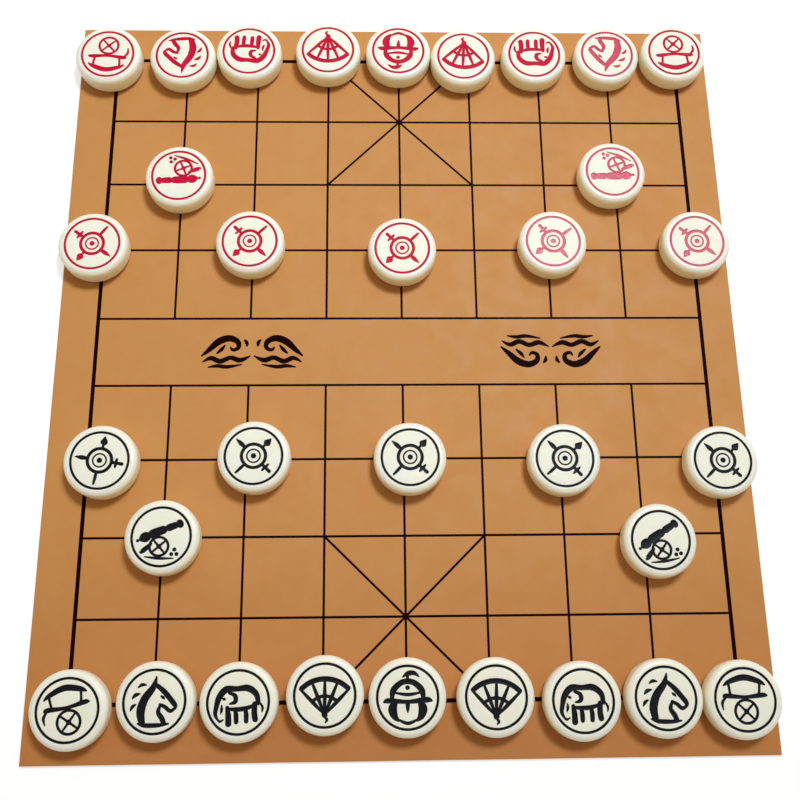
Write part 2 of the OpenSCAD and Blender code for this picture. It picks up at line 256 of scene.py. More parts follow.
def advisorMark():
    # An open folding fan: ribs from the pivot, an edge and a tie that follow arcs round it, and a cord
    pivot, edgeR, tieR = -9.4, 17.4, 9.0
    parts = dot(0, pivot, 1.6)
    for turn in np.arange(45, 136, 22.5):
        parts += turned([[1, 0, 0.5], [8, 0, 0.9], [edgeR - 0.4, 0, 0.6]], turn, 0, pivot)
    for radius, halfWidth, first, past, step in [(edgeR, 1.2, 135, 44, -15), (tieR, 0.8, 133, 46, -21.5)]:
        turns = np.radians(np.arange(first, past, step))
        parts += brush([[radius * math.cos(t), pivot + radius * math.sin(t), halfWidth] for t in turns])
    return parts + brush([[0, pivot - 1, 0.5], [1.2, pivot - 2.4, 0.7], [0.3, pivot - 3.9, 0.3]])


def generalMark():
    # A plumed helmet with hanging cheek guards
    return (brush([[-8, -1.2, 0.8], [-7.3, 3.4, 1.4], [-3.8, 6.9, 1.3], [0, 7.9, 1.3], [3.8, 6.9, 1.3],
            [7.3, 3.4, 1.4], [8, -1.2, 0.8]])
        + brush([[-12.3, -2.4, 0.4], [-9.6, -1.5, 1.2], [0, -2.1, 0.9], [9.6, -1.2, 1.3], [12.5, -1.8, 0.4]])
        + brush([[-6.8, 2.4, 0.5], [0, 1.4, 0.8], [6.8, 2.4, 0.5]])
        + dot(0, 4.8, 1.2)
        + brush([[0, 7.6, 0.9], [0, 9.4, 0.7], [0.2, 10.8, 0.7]])
        + brush([[-2.6, 9.9, 0.3], [0.2, 11.7, 1.1], [3.4, 11.9, 1], [6, 10, 0.3]])
        + mirrored([[6.4, -2, 1.3], [7.7, -5.6, 2], [6.6, -9.2, 1.5], [4.4, -11.4, 0.5]])
        + brush([[0, -1.6, 1.1], [0, -5, 0.9], [0, -7.4, 0.3]])
        + brush([[-5, -10.6, 0.5], [0, -12.5, 0.8], [5, -10.6, 0.5]]))


def cannonMark():
    # A gun on its carriage, with three balls
    return (brush([[-10.6, -2.2, 1.3], [-9, -1.2, 2.3], [-6.7, 0, 2.3]])
        + brush([[-5.6, 0.6, 2.2], [-2, 2.4, 2.1], [1.8, 4.1, 1.9]])
        + brush([[2.9, 4.6, 1.8], [5, 5.6, 1.7], [7.6, 6.8, 1.6]])
        + brush([[8.6, 7.2, 2.1], [9.8, 7.8, 2]])
        + dot(-12, -2.9, 0.9)
        + wheel(-0.6, -5.2, 4.9)
        + brush([[-4.6, -3.8, 0.7], [-7.6, -7, 1.2], [-9.6, -8.7, 0.9], [-10.2, -8.4, 0.3]])
        + brush([[-7.6, -11, 0.3], [0, -11.4, 0.7], [7.8, -10.9, 0.3]])
        + dot(6.4, -8.8, 1.1) + dot(9.1, -8.6, 1.1) + dot(7.7, -6.3, 1.1))


def soldierMark():
    # A round shield over a crossed spear and sword
    return (hoop(0, 0, 6.5, 1.6) + hoop(0, 0, 3.6, 0.8) + dot(0, 0, 1.5)
        + brush([[-9.6, -9.4, 0.5], [-7, -6.9, 0.8], [-4.6, -4.5, 0.7]])
        + brush([[4.6, 4.5, 0.7], [6.6, 6.6, 0.6]])
        + brush([[5.9, 5.8, 0.5], [7.2, 7.1, 1.8], [9.4, 9.5, 0.2]])
        + brush([[-4.6, 4.6, 0.7], [-7, 7, 1.1], [-9.6, 9.5, 0.2]])
        + brush([[4.6, -4.6, 0.8], [7, -7, 0.8], [9, -9, 0.9]])
        + brush([[4.6, -8.2, 0.5], [6.4, -6.4, 0.8], [8.2, -4.6, 0.5]]))


markOf = {"chariot": chariotMark, "horse": horseMark, "elephant": elephantMark, "advisor": advisorMark,
    "general": generalMark, "cannon": cannonMark, "soldier": soldierMark}


# Materials

class Wire:
    # One socket of a node tree. Arithmetic on it adds Math nodes, and node() adds any other node.
    def __init__(self, tree, socket):
        self.tree, self.socket = tree, socket

    def node(self, kind, settings, inputs, output=0):
        made = self.tree.nodes.new(kind)
        for name, value in settings.items():
            setattr(made, name, value)
        for name, value in inputs.items():
            if isinstance(value, Wire):
                self.tree.links.new(value.socket, made.inputs[name])
            else:
                made.inputs[name].default_value = value
        return Wire(self.tree, made.outputs[output])

    def maths(self, operation, *values):
        # One Math node on up to three values
        return self.node("ShaderNodeMath", {"operation": operation}, dict(enumerate(values)))

    def __add__(self, other):
        return self.maths("ADD", self, other)

    def __radd__(self, other):
        return self.maths("ADD", other, self)

    def __sub__(self, other):
        return self.maths("SUBTRACT", self, other)

    def __rsub__(self, other):
        return self.maths("SUBTRACT", other, self)

    def __mul__(self, other):
        return self.maths("MULTIPLY", self, other)

    def __rmul__(self, other):
        return self.maths("MULTIPLY", other, self)

    def noise(self, size, detail=2.0, roughness=0.5):
        # Clouds of about this size in millimetres, from 0 to 1 about a middle of 0.5
        return self.node("ShaderNodeTexNoise", {}, {"Vector": self, "Scale": 1 / size, "Detail": detail,
            "Roughness": roughness})

    def cells(self, size):
        # Distance to the nearest of scattered points this far apart, in those units
        return self.node("ShaderNodeTexVoronoi", {"feature": "SMOOTH_F1"},
            {"Vector": self, "Scale": 1 / size})

    def stretched(self, x, y, z):
        # Each part of a vector or colour times its own number
        return self.node("ShaderNodeVectorMath", {"operation": "MULTIPLY"}, {0: self, 1: (x, y, z)})

    def part(self, axis):
        # One of X, Y and Z
        return self.node("ShaderNodeSeparateXYZ", {}, {0: self}, "XYZ".index(axis))

    def ramp(self, low, high, start=0.0, end=1.0):
        # Goes smoothly from start to end as this value goes from low to high
        return self.node("ShaderNodeMapRange", {"interpolation_type": "SMOOTHSTEP"},
            {"Value": self, "From Min": low, "From Max": high, "To Min": start, "To Max": end})

    def tint(self, low, high):
        # From one colour to another as this value goes from 0 to 1
        return self.node("ShaderNodeMix", {"data_type": "RGBA"}, {0: self, 6: low, 7: high}, 2)

    def bump(self, depth):
        # Depth in millimetres for a height that goes from 0 to 1
        return self.node("ShaderNodeBump", {}, {"Height": self, "Distance": depth * mm})


def paint(red, green, blue):
    # A linear colour from the way it looks on a screen, 0 to 255
    return tuple((value / 255)**2.2 for value in (red, green, blue)) + (1.0,)


def newMaterial(name, finish):
    # A material with its fixed finish set, its shader, and the object's coordinates in millimetres
    material = bpy.data.materials.new(name)
    material.use_nodes = True
    tree = material.node_tree
    shader = tree.nodes["Principled BSDF"]
    for socket, value in finish.items():
        shader.inputs[socket].default_value = value
    place = Wire(tree, tree.nodes.new("ShaderNodeTexCoord").outputs["Object"])
    return material, shader, place.stretched(1 / mm, 1 / mm, 1 / mm)


def feed(shader, **wires):
    # Joins what varies over the surface to the shader
    for name, wire in wires.items():
        socket = {"colour": "Base Color", "rough": "Roughness", "normal": "Normal"}[name]
        wire.tree.links.new(wire.socket, shader.inputs[socket])


leatherLook = {
    "pale": paint(199, 140, 79),
    "deep": paint(196, 135, 74),
    "cloudSizes": (38, 7),      # mm
    "speck": paint(178, 120, 64),
    "speckSize": 1.1, "speckShare": 0.12,
    "nearPaintedShade": (0.88, 0.78, 0.77),     # painted shade: the near edge is deeper and redder, its share of the tan elsewhere
    "paintedShadeStart": -80, "paintedShadeEnd": -215,      # mm along Y
    "pebble": 0.9, "fineGrain": 0.5, "pebbleDepth": 0.035,      # mm
    "rough": (0.5, 0.64), "roughSize": 16,
}


def grain(place):
    # Height of the pebbled grain: distance to the nearest pebble's middle, and some finer noise
    return place.cells(leatherLook["pebble"]) * 0.7 + place.noise(leatherLook["fineGrain"], 2) * 0.5


def leatherMaterial():
    # Tan clouds of two sizes with a few darker specks, over a pebbled grain, and painted shade at the near
    # edge
    look = leatherLook
    material, shader, place = newMaterial("tanLeather", {"Specular IOR Level": 0.2})
    large, small = look["cloudSizes"]
    clouds = place.noise(large, 3) * 0.55 + place.noise(small, 2) * 0.45
    specks = place.noise(look["speckSize"], 3, 0.7).ramp(0.62, 0.8)
    colour = clouds.ramp(0.3, 0.7).tint(look["deep"], look["pale"])
    colour = (specks * look["speckShare"]).tint(colour, look["speck"])
    # Painted shade: the tan is deeper and redder towards the near edge
    near = place.part("Y").ramp(look["paintedShadeEnd"], look["paintedShadeStart"], 1, 0)
    colour = near.tint(colour, colour.stretched(*look["nearPaintedShade"]))
    rough = place.noise(look["roughSize"], 2).ramp(0.3, 0.7, *look["rough"])
    feed(shader, colour=colour, rough=rough, normal=grain(place).bump(look["pebbleDepth"]))
    return material


# Painted shade: the cut side is a darker brown than the leather's top
shadedCutEdgeLook = {"deep": paint(104, 66, 38), "pale": paint(150, 104, 66), "fibre": 0.35, "fibreDepth": 0.05}


def shadedCutEdgeMaterial():
    # The raw cut side of the leather in painted shade: fibres four times as wide as they are high
    look = shadedCutEdgeLook
    material, shader, place = newMaterial("shadedLeatherCutEdge", {"Specular IOR Level": 0.2})
    fibres = place.stretched(1, 1, 4).noise(look["fibre"], 3, 0.7)
    feed(shader, colour=fibres.ramp(0.3, 0.7).tint(look["deep"], look["pale"]),
        rough=fibres * 0.15 + 0.75, normal=fibres.bump(look["fibreDepth"]))
    return material


backingLook = {
    "deep": paint(60, 46, 36), "pale": paint(112, 92, 74),
    "threadPitch": 0.55, "threadDepth": 0.08, "fuzzSize": 0.3,      # mm
}


def backingMaterial():
    # A plain weave: evenly spaced threads on all three axes, each rising and falling as a sine
    look = backingLook
    material, shader, place = newMaterial("wovenBacking", {"Specular IOR Level": 0.2, "Sheen Weight": 0.3})
    def threads(axis):
        return place.maths("SINE", place.part(axis) * (2 * math.pi / look["threadPitch"]))
    weave = threads("X") * 0.25 + threads("Y") * 0.25 + threads("Z") * 0.25 + 0.5
    fuzz = place.noise(look["fuzzSize"], 3, 0.7)
    feed(shader, colour=(weave * 0.6 + fuzz * 0.4).tint(look["deep"], look["pale"]),
        rough=fuzz * 0.1 + 0.85, normal=(weave + fuzz * 0.6).bump(look["threadDepth"]))
    return material


printLook = {"fresh": paint(22, 2, 1), "worn": paint(38, 8, 5), "wearSize": 2.2, "grainDepth": 0.02}


def printMaterial():
    # Dark ink that takes up some of the leather's grain, paler in small worn patches
    look = printLook
    material, shader, place = newMaterial("maroonPrint", {"Specular IOR Level": 0.02})
    wear = place.noise(look["wearSize"], 3, 0.65)
    feed(shader, colour=wear.ramp(0.35, 0.75).tint(look["fresh"], look["worn"]),
        rough=wear * 0.2 + 0.42, normal=grain(place).bump(look["grainDepth"]))
    return material


ivoryLook = {
    # pale and deep colour, roughness and gloss
    "ivoryRim": (paint(253, 247, 226), paint(251, 244, 219), 0.36, 0.5),
    "ivoryFace": (paint(254, 247, 229), paint(252, 244, 223), 0.48, 0.22),
    "finish": {"Subsurface Weight": 0.9, "Subsurface Scale": 0.0095, "Subsurface Radius": (1.0, 0.85, 0.6),
        "IOR": 1.5},
    "flowSizes": (9, 1.6), "flowRough": 0.04,       # mm, and how far the roughness follows the marks
    "skinSize": 0.8, "skinDepth": 0.006,
}


def ivoryMaterial(name):
    # Moulded ivory plastic: a soft glow below the surface, and faint flow marks
    look = ivoryLook
    pale, deep, rough, gloss = look[name]
    material, shader, place = newMaterial(name, look["finish"] | {"Specular IOR Level": gloss})
    large, small = look["flowSizes"]
    flow = place.noise(large, 3) * 0.6 + place.noise(small, 2) * 0.4
    smooth, matt = rough - look["flowRough"], rough + look["flowRough"]
    skin = place.noise(look["skinSize"], 2)
    feed(shader, colour=flow.ramp(0.3, 0.7).tint(deep, pale), rough=flow.ramp(0.3, 0.7, smooth, matt),
        normal=skin.bump(look["skinDepth"]))
    return material


# Sizes of every disc in millimetres
discShape = {
    "radius": 20.0, "height": 13.0, "topRound": 3.0, "baseRound": 4.0,
    "faceInset": 0.3, "footInset": 0.4,     # flat bands round the caps, inside the roundings
    "ringRadius": 15.6, "ringWidth": 1.4,
    "markRadius": 13.6,
    "engraveDepth": 0.5,
    "segments": 160, "roundRows": 10,
    "sharpAngle": 55,
    "strokeStep": 0.4,      # length of one step along a stroke
    "hoopStep": 0.35,       # and round a hoop
}
sheetTop = 1.5


inkLook = {
    # colour along a groove's walls, over its floor, and where the floor is worn
    "blackInk": (paint(8, 8, 12), paint(19, 18, 24), paint(66, 66, 74)),
    "crimsonInk": (paint(176, 0, 42), paint(208, 14, 64), paint(238, 150, 170)),
    "wallDepth": 0.1,       # how far down the walls' colour reaches, mm
    "streakSize": 0.9, "streakDepth": 0.02,
}


def inkMaterial(name):
    # Paint laid in the engraving: it pools dark along the walls and thins out over the floor of a wide stroke
    look = inkLook
    edge, middle, faded = look[name]
    material, shader, place = newMaterial(name, {"Specular IOR Level": 0.1})
    floor = (sheetTop + discShape["height"]) - place.part("Z")
    pooled = floor.ramp(look["wallDepth"], discShape["engraveDepth"])
    streaks = place.noise(look["streakSize"], 3, 0.7).ramp(0.35, 0.7)
    wear = place.node("ShaderNodeAttribute", {"attribute_name": "inkWear"}, {}, 2)
    colour = (pooled * (streaks * 0.5 + 0.5)).tint(edge, middle)
    colour = (wear * (streaks * 0.6 + 0.4) * pooled).tint(colour, faded)
    feed(shader, colour=colour, rough=streaks * 0.12 + 0.38, normal=streaks.bump(look["streakDepth"]))
    return material


leather = leatherMaterial()
shadedCutEdge = shadedCutEdgeMaterial()
backing = backingMaterial()
ink = printMaterial()
rimIvory, faceIvory = ivoryMaterial("ivoryRim"), ivoryMaterial("ivoryFace")
blackInk, redInk = inkMaterial("blackInk"), inkMaterial("crimsonInk")
print("materials made")


# Discs

grooveSection = {
    # From the top of a groove's left side to its middle: share of the half width, extra width, share of the
    # depth, drop at the lip, and height above the face
    "share": np.array([1, 1, 1, 1, 0.90, 0.72, 0.40, 0]),
    "extra": np.array([0.16, 0.16, 0.03, -0.02, 0, 0, 0, 0]),
    "depth": np.array([0, 0, 0, 0, 0.60, 0.86, 0.98, 1]),
    "drop": np.array([0, 0, 0.03, 0.11, 0, 0, 0, 0]),
    "above": np.array([0.30, 0.03, 0, 0, 0, 0, 0, 0]),
    "lipFaces": 2,      # bands of each side, below the first, that stay ivory
    "thinDepth": 0.55, "depthGain": 0.3,    # depth share of a hairline, and what each mm of half width adds
    "dotSegments": 32,
}


def grooveProfile(halfWidth, roundness):
    # Side and height of a groove at each path point, from its left top to its right top. The side is the
    # share of the half width and the extra, times the roundness. A thin stroke is cut less deep, and a
    # rounded end rises to the face as the root of the roundness.
    s = grooveSection
    w, e = halfWidth[:, None], roundness[:, None]
    depth = discShape["engraveDepth"] * np.minimum(1, s["thinDepth"] + s["depthGain"] * w)
    side = (s["share"] * w + s["extra"]) * e
    fall = (s["depth"] * depth + s["drop"]) * np.sqrt(e)
    height = discShape["height"] + s["above"] - fall
    return np.hstack([side, -side[:, -2::-1]]), np.hstack([height, height[:, -2::-1]])


def bandInks(rows, columns, caps):
    # Material number of each face of a carried groove: 0 on the lips and above them, 1 where ink lies
    lips = grooveSection["lipFaces"] + 1
    band = np.arange(columns)
    inked = (band >= lips) & (band < columns - 1 - lips)
    return np.tile(inked.astype(int), rows).tolist() + [1] * caps


def brushGroove(scale, stroke):
    # The section carried along a brush's path
    x, y, w, roundness = brushPath(np.array(stroke) * scale, discShape["strokeStep"])
    side, height = grooveProfile(w, roundness)
    points, faces = carried(x, y, side, height)
    return points, faces, bandInks(len(x) - 1, side.shape[1], 2)


def hoopGroove(scale, *sizes):
    # The section carried round a circle
    cx, cy, r, w = (size * scale for size in sizes)
    count = max(32, int(2 * math.pi * r / discShape["hoopStep"]))
    angle = np.linspace(0, 2 * math.pi, count, endpoint=False)
    side, height = grooveProfile(np.full(count, w / 2), np.ones(count))
    points, faces = carried(cx + r * np.cos(angle), cy + r * np.sin(angle), side, height, True)
    return points, faces, bandInks(count, side.shape[1], 0)


def dotGroove(scale, *sizes):
    # Half of the section turned round an upright axis; the flat cap on its floor is inked too
    cx, cy, r = (size * scale for size in sizes)
    side, height = grooveProfile(np.array([r]), np.ones(1))
    half = len(grooveSection["share"]) - 1
    around = grooveSection["dotSegments"]
    points, faces = revolved(side[0, half - 1::-1], height[0, half - 1::-1], cx, cy, around)
    lips = grooveSection["lipFaces"] + 1
    inks = np.repeat((np.arange(half - 1) < half - 1 - lips).astype(int), around).tolist()
    return points, faces, inks + [1, 0]


grooveOf = {"brush": brushGroove, "hoop": hoopGroove, "dot": dotGroove}


def grooveShells(mark, scale):
    # The closed shells that cut one mark into a disc
    return [grooveOf[kind](scale, *values) for kind, *values in mark]


def discBody():
    # A disc without its engraving: flat underside, rounded lower edge, straight side, rounded upper edge.
    # Both roundings are quarter circles.
    s = discShape
    swing = np.radians(np.linspace(0, 90, s["roundRows"]))
    baseX, topX = s["radius"] - s["baseRound"], s["radius"] - s["topRound"]
    radius = np.concatenate([[baseX - s["footInset"]], baseX + s["baseRound"] * np.sin(swing),
        [s["radius"]] * 2, topX + s["topRound"] * np.cos(swing), [topX - s["faceInset"]]])
    twoRows = np.linspace(s["baseRound"], s["height"] - s["topRound"], 4)[1:3]
    height = np.concatenate([[0], s["baseRound"] * (1 - np.cos(swing)), twoRows,
        s["height"] - s["topRound"] * (1 - np.sin(swing)), [s["height"]]])
    points, faces = revolved(radius, height, segments=s["segments"])
    return points, faces, [0] * len(faces)


def cutDisc(kind):
    # One kind of disc with its ring and mark cut in, as a mesh about its own axis
    s = discShape
    slots = [rimIvory, blackInk, faceIvory]
    body = bpy.data.objects.new(kind, makeMesh(kind, discBody(), slots))
    bpy.context.scene.collection.objects.link(body)
    cutters = bpy.data.collections.new(kind + "Cutters")
    ring = grooveShells([("hoop", 0, 0, s["ringRadius"], s["ringWidth"])], 1)
    for shell in ring + grooveShells(markOf[kind](), s["markRadius"] / drawnRadius):
        cutter = bpy.data.objects.new(kind + "Cutter", makeMesh(kind + "Cutter", shell, slots))
        cutters.objects.link(cutter)
    cut = body.modifiers.new("engraving", "BOOLEAN")
    cut.operation, cut.solver = "DIFFERENCE", "MANIFOLD"
    cut.operand_type, cut.collection = "COLLECTION", cutters
    cut.material_mode = "INDEX"
    mesh = bpy.data.meshes.new_from_object(body.evaluated_get(bpy.context.evaluated_depsgraph_get()))
    for cutter in list(cutters.objects):
        bpy.data.objects.remove(cutter)
    bpy.data.collections.remove(cutters)
    bpy.data.objects.remove(body)
    sharpenLips(mesh, finishFace(mesh))
    return mesh


def read(items, field, width=1, kind=float):
    # One property of all of a mesh's parts as an array, with a row for each part if it has several values
    values = np.zeros(len(items) * width, kind)
    items.foreach_get(field, values)
    return values.reshape(-1, width) if width > 1 else values


def finishFace(mesh):
    # The flat face inside the ring gets its own finish. Returns which of all the faces are flat.
    s = discShape
    upright, level, insideRing = 0.9999, 0.01, 0.5      # mm, but for the first
    normals, centres = read(mesh.polygons, "normal", 3), read(mesh.polygons, "center", 3) / mm
    inks = read(mesh.polygons, "material_index", kind=int)
    flat = (normals[:, 2] > upright) & (centres[:, 2] > s["height"] - level)
    inks[flat & (np.hypot(centres[:, 0], centres[:, 1]) < s["ringRadius"] - insideRing)] = 2
    mesh.polygons.foreach_set("material_index", inks)
    return flat


def sharpenLips(mesh, flat):
    # The face meets every lip in a sharp edge, so that the flat stays flat when it is shaded: an edge is
    # sharp if some but not all of its faces are flat, unless it lies on the rounded shoulder
    s = discShape
    shoulder = 0.2      # mm
    mesh.shade_smooth()
    mesh.set_sharp_from_angle(angle=math.radians(s["sharpAngle"]))
    edges = len(mesh.edges)
    edgeOfLoop, loopTotals = read(mesh.loops, "edge_index", 1, int), read(mesh.polygons, "loop_total", 1, int)
    ends, places = read(mesh.edges, "vertices", 2, int), read(mesh.vertices, "co", 3) / mm
    onFlat = np.bincount(edgeOfLoop, np.repeat(flat, loopTotals), edges)
    faces = np.bincount(edgeOfLoop, minlength=edges)
    reach = np.hypot(places[:, 0], places[:, 1])[ends].max(1)
    attribute = mesh.attributes.get("sharp_edge") or mesh.attributes.new("sharp_edge", "BOOLEAN", "EDGE")
    sharp = read(attribute.data, "value", kind=bool)
    sharp |= (onFlat > 0) & (onFlat < faces) & (reach < s["radius"] - s["topRound"] - shoulder)
    attribute.data.foreach_set("value", sharp)
    mesh.update()


# How each disc is turned, in degrees, and how far its ink is worn, from 0 to 1
discTurns = {
    "red_chariot_left": 176, "red_horse_left": 184, "red_elephant_left": 178, "red_advisor_left": 180,
    "red_general": 178, "red_advisor_right": 176, "red_elephant_right": 182, "red_horse_right": 174,
    "red_chariot_right": 181, "red_cannon_left": 158, "red_cannon_right": 156, "red_soldier_1": 188,
    "red_soldier_2": 180, "red_soldier_3": 180, "red_soldier_4": 172, "red_soldier_5": 184,
    "black_soldier_1": 35, "black_soldier_2": 0, "black_soldier_3": 2, "black_soldier_4": -3,
    "black_soldier_5": 0, "black_cannon_left": -4, "black_cannon_right": 8, "black_chariot_left": 12,
    "black_horse_left": 0, "black_elephant_left": 6, "black_advisor_left": 0, "black_general": 0,
    "black_advisor_right": -2, "black_elephant_right": 4, "black_horse_right": -3, "black_chariot_right": 0,
}
inkWear = {"red_soldier_4": 1.0, "red_cannon_right": 0.75, "red_soldier_5": 0.8, "red_horse_right": 0.4}


def addDiscs():
    # Each kind is cut once; every disc is a copy of its kind, turned and moved to its foot in the frame
    cut = {kind: cutDisc(kind) for kind in markOf}
    print("engraved", {kind: len(mesh.polygons) for kind, mesh in cut.items()})
    for name, turn in discTurns.items():
        side, kind = name.split("_")[:2]
        low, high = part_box(name)
        foot = Vector(((low.x + high.x) / 2, (low.y + high.y) / 2, low.z))
        mesh = cut[kind].copy()
        mesh.transform(Matrix.Translation(foot) @ Matrix.Rotation(math.radians(turn), 4, "Z"))
        mesh.materials[1] = redInk if side == "red" else blackInk
        wear = mesh.attributes.new("inkWear", "FLOAT", "POINT")
        wear.data.foreach_set("value", np.full(len(mesh.vertices), inkWear.get(name, 0.0)))
        addPiece("disc_" + name, mesh, name, side + "_disc", name)


addDiscs()
print("discs placed")


# Sheet

sheetShape = {
    "faceBottom": 0.7,
    "leatherTop": 1.46,   # the print stands the last 0.04 mm up to the top of the sheet
    "edgeDrop": 0.10,     # how far the cut edge of the leather is pressed down
    "edgeReach": 0.35,
    "edgeWander": 0.06,   # how far the knife strayed inwards
    "faceInset": 0.02, "backingInset": 0.2,
    "faceCells": 56, "backingCells": 24,
    "crowding": 2.2,      # how much closer the mesh's lines lie towards the edges
    "knifeWaves": (17, 15),
    "sharpAngle": 40,
}


def slabShell(low, high, inset, zLow, zHigh, cells, drop=0.0):
    # A thin closed slab. Its top follows zHigh - drop * exp(-d / reach), with d the distance from the edge.
    # Its outline wanders inwards as a sine, and its lines lie closer together towards the edges.
    s = sheetShape
    wander, (waveX, waveY) = s["edgeWander"], s["knifeWaves"]
    share = np.linspace(-1, 1, cells + 1)
    share = np.sign(share) * (1 - (1 - np.abs(share))**s["crowding"])
    halfW, halfL = (high.x - low.x) / 2 / mm - inset, (high.y - low.y) / 2 / mm - inset
    u, v = np.meshgrid(share, share, indexing="ij")
    x = halfW * u - wander * (1 + np.sin(v * waveX)) / 2 * u
    y = halfL * v - wander * (1 + np.sin(u * waveY)) / 2 * v
    d = np.minimum(halfW * (1 - np.abs(u)), halfL * (1 - np.abs(v)))
    top = np.stack([x, y, zHigh - drop * np.exp(-d / s["edgeReach"])], -1).reshape(-1, 3)
    bottom = np.stack([x, y, np.full_like(x, zLow)], -1).reshape(-1, 3)
    n = cells + 1
    quads = gridFaces(n, n)
    number = np.arange(n * n).reshape(n, n)
    rim = np.concatenate([number[:-1, 0], number[-1, :-1], number[:0:-1, -1], number[0, :0:-1]])
    ahead = np.roll(rim, -1)
    sides = np.stack([rim + n * n, ahead + n * n, ahead, rim], -1)
    faces = np.concatenate([quads[:, ::-1], quads + n * n, sides]).tolist()
    return np.vstack([top, bottom]), faces, [0] * len(quads) * 2 + [1] * len(sides)


def addSheet():
    # The leather lies on the backing, which is cut a little smaller and reaches down to the table
    s = sheetShape
    low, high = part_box("sheet_backing")
    leatherShell = slabShell(low, high, s["faceInset"], s["faceBottom"], s["leatherTop"], s["faceCells"],
        s["edgeDrop"])
    face = makeMesh("leather_face", leatherShell, [leather, shadedCutEdge])
    face.shade_smooth()
    face.set_sharp_from_angle(angle=math.radians(s["sharpAngle"]))
    facePiece = addPiece("leather_face", face, "sheet", "leather", "sheet_face")
    points, faces, inks = slabShell(low, high, s["backingInset"], 0, s["faceBottom"], s["backingCells"])
    backingMesh = makeMesh("fabric_backing", (points, faces, [0] * len(inks)), [backing])
    backingPiece = addPiece("fabric_backing", backingMesh, "sheet", "backing", "sheet_backing")
    return facePiece, backingPiece


leatherPiece, backingPiece = addSheet()
print("sheet laid")


# Print on the sheet

gridShape = {
    "centre": (1.5, 3.5),
    "filePitch": 44.0, "rankPitch": 43.3, "river": 40.6,
    "lineWidth": 1.3, "borderWidth": 2.2,
    "printBottom": 1.42, "printTop": 1.5,
    "palaceTop": 1.496, "palaceStep": 0.002,    # each diagonal lies this much below the one before it
    "strokeStep": 0.5,
}


def fileX(file):
    # Files 0 to 8, counted from the left
    return gridShape["centre"][0] + (file - 4) * gridShape["filePitch"]


def rankY(rank):
    # Ranks 0 to 4 lie beyond the river, and 5 to 9 on the near side of it
    half = gridShape["river"] / 2 + abs(rank - 4.5) * gridShape["rankPitch"] - gridShape["rankPitch"] / 2
    return gridShape["centre"][1] + (half if rank < 4.5 else -half)


def gridBars():
    # Lowest and highest x and y of every straight line of the grid
    def bar(fileA, rankA, fileB, rankB, width):
        half = width / 2
        x, y = sorted([fileX(fileA), fileX(fileB)]), sorted([rankY(rankA), rankY(rankB)])
        return [x[0] - half, x[1] + half, y[0] - half, y[1] + half]
    line, border = gridShape["lineWidth"], gridShape["borderWidth"]
    bars = [bar(0, rank, 8, rank, line) for rank in range(1, 9)]
    bars += [bar(file, first, file, first + 4, line) for file in range(1, 8) for first in (0, 5)]
    bars += [bar(0, rank, 8, rank, border) for rank in (0, 9)]
    bars += [bar(file, 0, file, 9, border) for file in (0, 8)]
    return np.array(bars)


def latticeShell(bars, zLow, zHigh):
    # The union of upright bars as one closed shell. The bars' edges cut the plane into cells; a cell is
    # filled if any bar covers its middle, and a wall stands wherever a filled cell meets an empty one.
    xs, ys = np.unique(bars[:, :2].round(6)), np.unique(bars[:, 2:].round(6))
    midX, midY = (xs[1:] + xs[:-1]) / 2, (ys[1:] + ys[:-1]) / 2
    inX = (midX > bars[:, :1]) & (midX < bars[:, 1:2])
    inY = (midY > bars[:, 2:3]) & (midY < bars[:, 3:])
    filled = (inX[:, :, None] & inY[:, None, :]).any(0)
    columns = len(ys)
    number = np.arange(len(xs) * columns).reshape(len(xs), columns)
    above = len(xs) * columns
    i, j = np.nonzero(filled)
    a, b, c, d = number[i, j], number[i + 1, j], number[i + 1, j + 1], number[i, j + 1]
    quads = [np.stack([a, b, c, d], -1) + above, np.stack([d, c, b, a], -1)]
    edge = np.pad(filled, 1)
    for stepI, stepJ, first, second in [(0, -1, a, b), (1, 0, b, c), (0, 1, c, d), (-1, 0, d, a)]:
        bare = ~edge[i + 1 + stepI, j + 1 + stepJ]
        f, g = first[bare], second[bare]
        quads.append(np.stack([f, g, g + above, f + above], -1))
    quads = np.concatenate(quads)
    x, y = np.meshgrid(xs, ys, indexing="ij")
    layers = [np.stack([x.ravel(), y.ravel(), np.full(x.size, z)], -1) for z in (zLow, zHigh)]
    used, quads = np.unique(quads, return_inverse=True)
    return np.vstack(layers)[used], quads.reshape(-1, 4).tolist(), [0] * quads.size


def flatStroke(points, zLow, zHigh):
    # A printed stroke: a flat bar carried along the brush's path, as wide as the brush there
    x, y, w, e = brushPath(points, gridShape["strokeStep"])
    half = (w * e)[:, None]
    side = np.hstack([half, half, -half, -half])
    height = np.broadcast_to([zHigh, zLow, zLow, zHigh], side.shape)
    pointsOut, faces = carried(x, y, side, height)
    return pointsOut, faces, [0] * len(faces)


def palaceShell():
    # The two crosses of diagonal lines
    g = gridShape
    shells = []
    for first in (0, 7):
        for fileA, fileB in ((3, 5), (5, 3)):
            ends = np.array([[fileX(fileA), rankY(first)], [fileX(fileB), rankY(first + 2)]])
            half = g["lineWidth"] / 2
            side = np.broadcast_to([half, half, -half, -half], (2, 4))
            top = g["palaceTop"] - g["palaceStep"] * len(shells)
            height = np.broadcast_to([top, g["printBottom"], g["printBottom"], top], (2, 4))
            points, faces = carried(ends[:, 0], ends[:, 1], side, height)
            shells.append((points, faces, [0] * len(faces)))
    return joined(shells)


riverShape = {"pairX": 86.5, "pitch": 30.0, "waveWidth": 28, "drawnWidth": 26}


